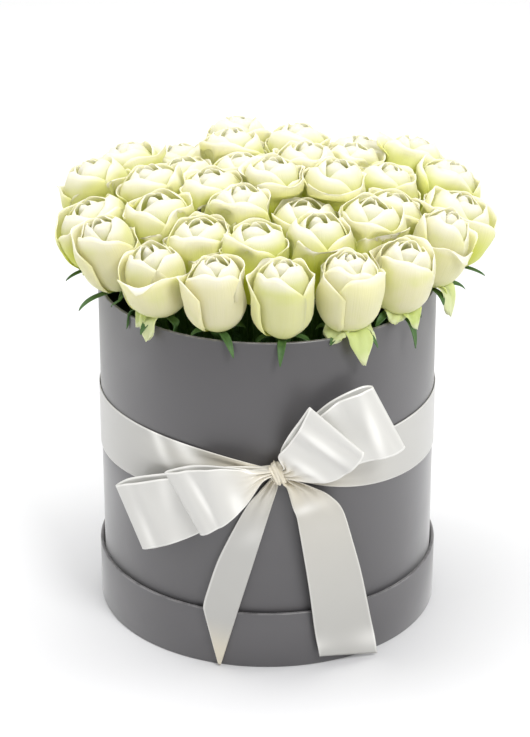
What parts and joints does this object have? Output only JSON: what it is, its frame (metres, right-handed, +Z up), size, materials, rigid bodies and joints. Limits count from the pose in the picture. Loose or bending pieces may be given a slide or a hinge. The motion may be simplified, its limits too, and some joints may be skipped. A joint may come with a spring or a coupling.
{
  "type": "boxed rose arrangement",
  "caption": "White cut roses standing in a round paper-covered hat box that sits in its own upturned lid, with a satin ribbon tied round it in a double bow.",
  "frame": {"origin": "centre of the upturned lid's underside, on the table", "axes": "+Z up along the box's axis, -Y towards the bow, +X to the bow's right as seen from the front"},
  "size_m": [0.2488, 0.2352, 0.2769],
  "materials": {
    "grey_card": "greyboard wrapped in warm grey matt paper",
    "liner_plastic": "thin black waterproof liner",
    "flower_foam": "soaked green flower foam",
    "rose": "cream white petals, yellow-green in their depths, with green calyx and stem",
    "ivory_satin": "ivory double-face satin ribbon"
  },
  "bodies": {
    "lid": {"lid_disc": "grey_card", "lid_band": "grey_card"},
    "flower_box": {"box_wall": "grey_card", "box_floor": "grey_card", "foam_liner": "liner_plastic", "foam_drum": "flower_foam", "ribbon_band": "ivory_satin", "bow_knot": "ivory_satin", "bow_loop_left_back": "ivory_satin", "bow_loop_left_front": "ivory_satin", "bow_loop_right_back": "ivory_satin", "bow_loop_right_front": "ivory_satin", "bow_tail_left": "ivory_satin", "bow_tail_right": "ivory_satin", "rose_01": "rose", "rose_02": "rose", "rose_03": "rose", "rose_04": "rose", "rose_05": "rose", "rose_06": "rose", "rose_07": "rose", "rose_08": "rose", "rose_09": "rose", "rose_10": "rose", "rose_11": "rose", "rose_12": "rose", "rose_13": "rose", "rose_14": "rose", "rose_15": "rose", "rose_16": "rose", "rose_17": "rose", "rose_18": "rose", "rose_19": "rose", "rose_20": "rose", "rose_21": "rose", "rose_22": "rose", "rose_23": "rose", "rose_24": "rose", "rose_25": "rose", "rose_26": "rose", "rose_27": "rose", "rose_28": "rose", "rose_29": "rose", "rose_30": "rose", "rose_31": "rose", "rose_32": "rose", "rose_33": "rose", "rose_34": "rose", "rose_35": "rose", "rose_36": "rose"}
  },
  "joints": [
    {"name": "box_lift", "type": "slide", "parent": "lid", "child": "flower_box", "axis": [0, 0, 1], "range_m": [0, 0.06]}
  ]
}
